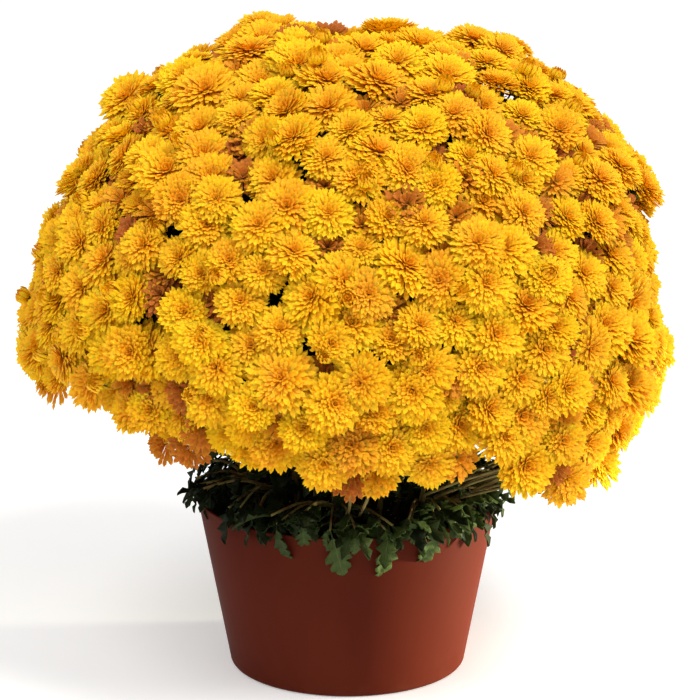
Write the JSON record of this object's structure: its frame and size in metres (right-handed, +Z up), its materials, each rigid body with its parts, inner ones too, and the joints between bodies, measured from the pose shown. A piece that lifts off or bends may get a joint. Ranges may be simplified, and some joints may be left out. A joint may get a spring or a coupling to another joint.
{
  "type": "potted chrysanthemum",
  "caption": "Round mound of double yellow blooms and buds on branching leafy stems, standing in a plain tapered plastic pot filled with growing mix.",
  "frame": {"origin": "centre of the pot's flat base", "axes": "+Z up, -Y towards the side that the picture shows, +X to that view's right"},
  "size_m": [0.5363, 0.5388, 0.5395],
  "materials": {
    "pot": "satin moulded terracotta-brown plastic",
    "soil": "damp crumbly growing mix",
    "leaves": "matte green leaf and stem",
    "petals": "soft matte yellow petal"
  },
  "bodies": {
    "root": {"pot": "pot", "growing_mix": "soil", "leafy_stem_01": "leaves", "leafy_stem_02": "leaves", "leafy_stem_03": "leaves", "leafy_stem_04": "leaves", "leafy_stem_05": "leaves", "leafy_stem_06": "leaves", "leafy_stem_07": "leaves", "leafy_stem_08": "leaves", "leafy_stem_09": "leaves", "leafy_stem_10": "leaves", "leafy_stem_11": "leaves", "leafy_stem_12": "leaves", "leafy_stem_13": "leaves", "leafy_stem_14": "leaves", "leafy_stem_15": "leaves", "leafy_stem_16": "leaves", "leafy_stem_17": "leaves", "leafy_stem_18": "leaves", "leafy_stem_19": "leaves", "leafy_stem_20": "leaves", "blooms_01": "petals", "blooms_02": "petals", "blooms_03": "petals", "blooms_04": "petals", "blooms_05": "petals", "blooms_06": "petals", "blooms_07": "petals", "blooms_08": "petals", "blooms_09": "petals", "blooms_10": "petals", "blooms_11": "petals", "blooms_12": "petals", "blooms_13": "petals", "blooms_14": "petals", "blooms_15": "petals", "blooms_16": "petals", "blooms_17": "petals", "blooms_18": "petals", "blooms_19": "petals", "blooms_20": "petals"}
  },
  "joints": []
}
